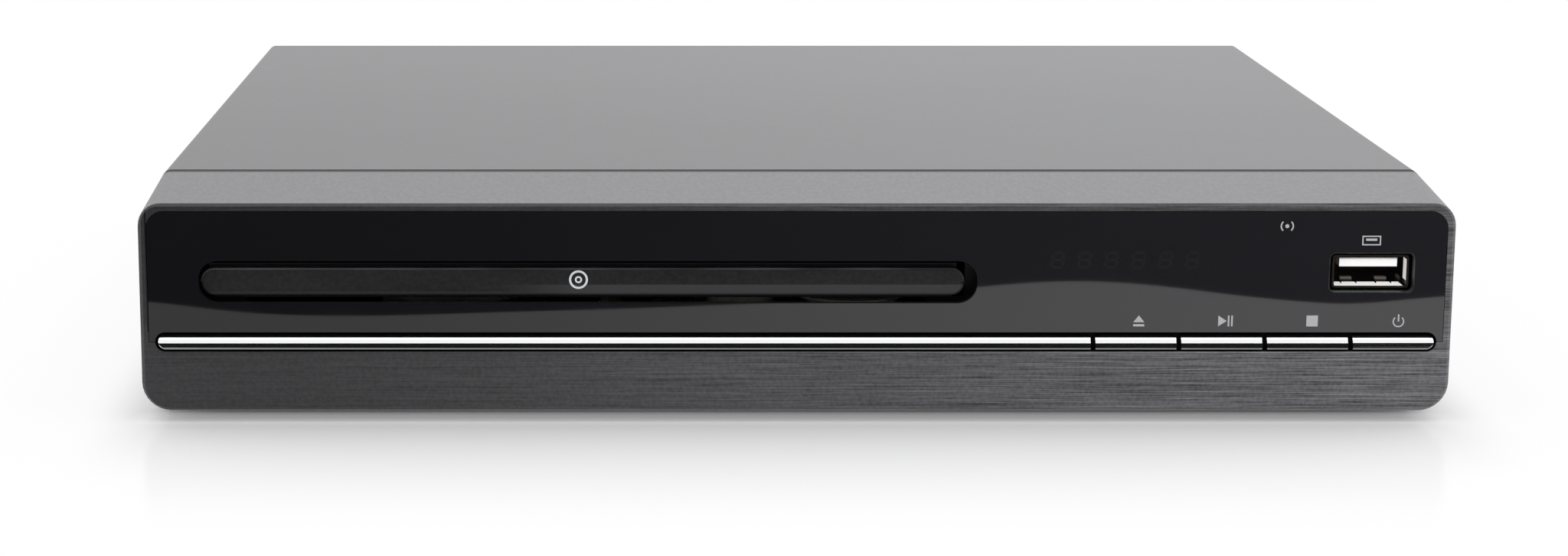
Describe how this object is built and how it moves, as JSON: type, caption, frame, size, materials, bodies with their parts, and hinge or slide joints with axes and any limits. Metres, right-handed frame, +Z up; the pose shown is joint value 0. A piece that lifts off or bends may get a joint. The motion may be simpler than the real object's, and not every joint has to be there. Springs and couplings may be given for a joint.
{
  "type": "disc player with tray",
  "caption": "Slim front-loading disc player: sliding disc tray with rack drive, tilting optical deck, sprung front keys, steel case and rear sockets.",
  "frame": {"origin": "middle of the footprint, on the surface that the player stands on", "axes": "+X to the right as seen from the front, +Y to the back, +Z up; the tray comes out along -Y"},
  "size_m": [0.2254, 0.2086, 0.0401],
  "materials": {
    "grey_shell": "satin",
    "gloss_black": "polished",
    "silver_trim": "polished",
    "painted_steel": "fine textured matte",
    "zinc_steel": "satin",
    "black_abs": "satin",
    "natural_pom": "satin",
    "steel_rod": "polished",
    "black_screw": "satin",
    "nickel": "bright",
    "rubber_black": "matte",
    "magnet": "satin",
    "lens_glass": "clear",
    "board_green": "satin",
    "board_tan": "satin",
    "chip_black": "matte",
    "display_dark": "satin",
    "aluminium_fins": "satin",
    "orange_plastic": "satin",
    "white_plastic": "satin",
    "winding_tape": "satin",
    "can_blue": "satin",
    "brass_post": "satin"
  },
  "bodies": {
    "case": {"front_panel": "grey_shell", "gloss_fascia": "gloss_black", "trim_bar": "silver_trim", "top_cover": "painted_steel", "base_pan": "zinc_steel", "rear_panel": "zinc_steel", "feet": "rubber_black", "loader_frame": "black_abs", "clamp_bridge": "black_abs", "hinge_bushes": "rubber_black", "loading_motor": "zinc_steel", "drive_belt": "rubber_black", "control_board": "board_green", "tact_switches": "black_abs", "display_module": "display_dark", "ir_receiver": "chip_black", "usb_shell": "nickel", "usb_tongue": "white_plastic", "main_board": "board_green", "board_chips": "chip_black", "heat_sink": "aluminium_fins", "hdmi_socket": "nickel", "jack_block": "black_abs", "coax_socket": "orange_plastic", "scart_socket": "black_abs", "mains_inlet": "black_abs", "power_board": "board_tan", "transformer": "winding_tape", "capacitors": "can_blue", "board_standoffs": "brass_post", "case_screws": "black_screw", "loader_screws": "steel_rod", "board_screws": "steel_rod"},
    "tray": {"disc_tray": "black_abs", "tray_door": "gloss_black"},
    "traverse": {"traverse_frame": "zinc_steel", "spindle_motor": "zinc_steel", "guide_rods": "steel_rod", "sled_motor": "zinc_steel"},
    "turntable": {"turntable": "black_abs"},
    "pickup": {"optical_pickup": "black_abs", "pickup_lens": "lens_glass"},
    "lead_screw": {"lead_screw": "steel_rod"},
    "clamper": {"disc_clamper": "black_abs", "clamp_magnet": "magnet"},
    "drive_gear": {"drive_gear": "natural_pom"},
    "pulley_gear": {"pulley_gear": "natural_pom"},
    "motor_pulley": {"motor_pulley": "natural_pom"},
    "cam_slider": {"cam_slider": "natural_pom"},
    "eject_button": {"eject_button": "silver_trim"},
    "play_button": {"play_button": "silver_trim"},
    "stop_button": {"stop_button": "silver_trim"},
    "power_button": {"power_button": "silver_trim"}
  },
  "joints": [
    {"name": "tray_slide", "type": "slide", "parent": "case", "child": "tray", "axis": [0, -1, 0], "range_m": [0, 0.128]},
    {"name": "deck_tilt", "type": "hinge", "parent": "case", "child": "traverse", "pos_m": [-0.036, 0.0416, 0.013], "axis": [1, 0, 0], "range_deg": [0, 3.4]},
    {"name": "cam_slide", "type": "slide", "parent": "case", "child": "cam_slider", "axis": [1, 0, 0], "range_m": [0, 0.0321]},
    {"name": "drive_gear_turn", "type": "hinge", "parent": "case", "child": "drive_gear", "pos_m": [-0.009, -0.0804, 0.014], "axis": [0, 0, 1], "range_deg": [-612.15, 0]},
    {"name": "pulley_gear_turn", "type": "hinge", "parent": "case", "child": "pulley_gear", "pos_m": [0.01055, -0.08385, 0.014], "axis": [0, 0, 1], "range_deg": [0, 2751.2]},
    {"name": "motor_pulley_turn", "type": "hinge", "parent": "case", "child": "motor_pulley", "pos_m": [0.015, -0.0544, 0.017], "axis": [0, 0, 1], "range_deg": [0, 9264.82]},
    {"name": "disc_spin", "type": "hinge", "parent": "traverse", "child": "turntable", "pos_m": [-0.036, -0.0344, 0.024], "axis": [0, 0, 1], "continuous": true},
    {"name": "clamper_spin", "type": "hinge", "parent": "case", "child": "clamper", "pos_m": [-0.036, -0.0344, 0.029], "axis": [0, 0, 1], "continuous": true},
    {"name": "sled_slide", "type": "slide", "parent": "traverse", "child": "pickup", "axis": [0, 1, 0], "range_m": [0, 0.034]},
    {"name": "lead_screw_turn", "type": "hinge", "parent": "traverse", "child": "lead_screw", "pos_m": [-0.0084, 0.0056, 0.0122], "axis": [0, 1, 0], "range_deg": [0, 8161]},
    {"name": "eject_press", "type": "slide", "parent": "case", "child": "eject_button", "axis": [0, 1, 0], "range_m": [0, 0.0006], "stiffness_N_per_m": 900, "springref_m": -0.0003},
    {"name": "play_press", "type": "slide", "parent": "case", "child": "play_button", "axis": [0, 1, 0], "range_m": [0, 0.0006], "stiffness_N_per_m": 900, "springref_m": -0.0003},
    {"name": "stop_press", "type": "slide", "parent": "case", "child": "stop_button", "axis": [0, 1, 0], "range_m": [0, 0.0006], "stiffness_N_per_m": 900, "springref_m": -0.0003},
    {"name": "power_press", "type": "slide", "parent": "case", "child": "power_button", "axis": [0, 1, 0], "range_m": [0, 0.0006], "stiffness_N_per_m": 900, "springref_m": -0.0003}
  ],
  "couplings": [
    {"joint": "deck_tilt", "follows": "tray_slide", "rad_per_m": 0.46285},
    {"joint": "cam_slide", "follows": "tray_slide", "ratio": 0.25},
    {"joint": "drive_gear_turn", "follows": "tray_slide", "rad_per_m": -83.333},
    {"joint": "pulley_gear_turn", "follows": "tray_slide", "rad_per_m": 375},
    {"joint": "motor_pulley_turn", "follows": "tray_slide", "rad_per_m": 1263.2},
    {"joint": "clamper_spin", "follows": "disc_spin", "ratio": 1},
    {"joint": "lead_screw_turn", "follows": "sled_slide", "rad_per_m": 4188.8}
  ]
}
